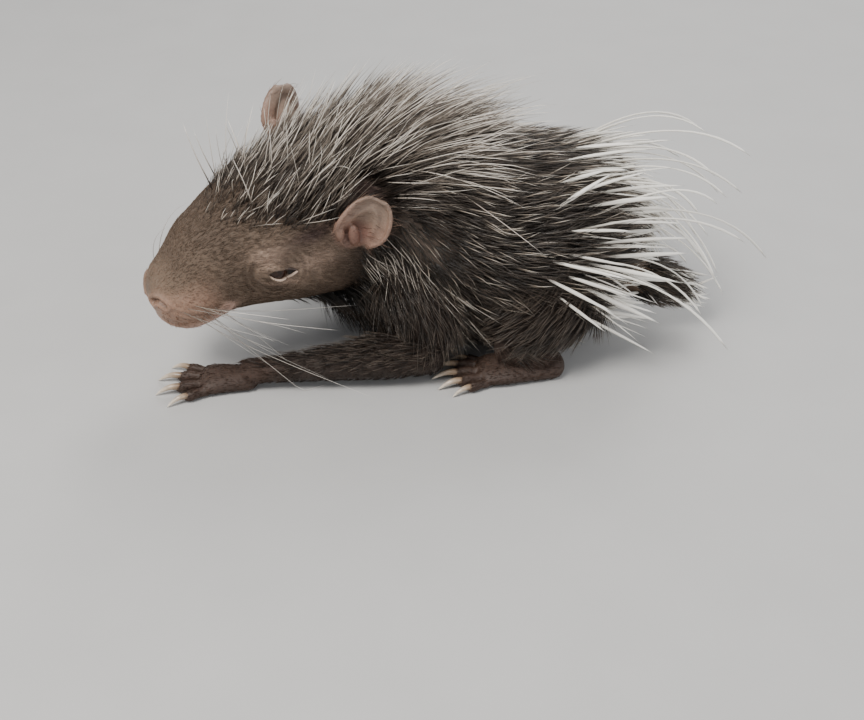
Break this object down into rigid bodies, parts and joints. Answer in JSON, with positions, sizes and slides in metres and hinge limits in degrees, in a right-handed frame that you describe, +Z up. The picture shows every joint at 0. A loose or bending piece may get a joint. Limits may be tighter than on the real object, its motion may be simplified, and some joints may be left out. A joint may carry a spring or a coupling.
{
  "type": "young porcupine",
  "caption": "Life-size still model of a young porcupine lying low with one forepaw stretched out, a bristly mane and quilled rump.",
  "frame": {"origin": "on the floor, in the flat under the belly", "axes": "+Z up; the nose points to -X and the animal's left side, which the picture shows, faces -Y"},
  "size_m": [0.2341, 0.117, 0.1077],
  "materials": {
    "face": "short velvety brown-grey fur",
    "mane": "grey-white bristles over dark skin",
    "coat": "dark brown spines and quills with white tips",
    "ear_skin": "thin, nearly bare pinkish-brown skin",
    "eye": "wet, near-black and glossy",
    "foot_skin": "dark brown, thinly haired, with pale horn claws"
  },
  "bodies": {
    "root": {"head": "face", "neck": "mane", "torso": "coat", "tail": "coat", "ear_left": "ear_skin", "ear_right": "ear_skin", "eye_left": "eye", "eye_right": "eye", "foreleg_left": "foot_skin", "foreleg_right": "foot_skin", "forepaw_left": "foot_skin", "forepaw_right": "foot_skin", "hindleg_left": "foot_skin", "hindleg_right": "foot_skin", "hindfoot_left": "foot_skin", "hindfoot_right": "foot_skin"}
  },
  "joints": []
}
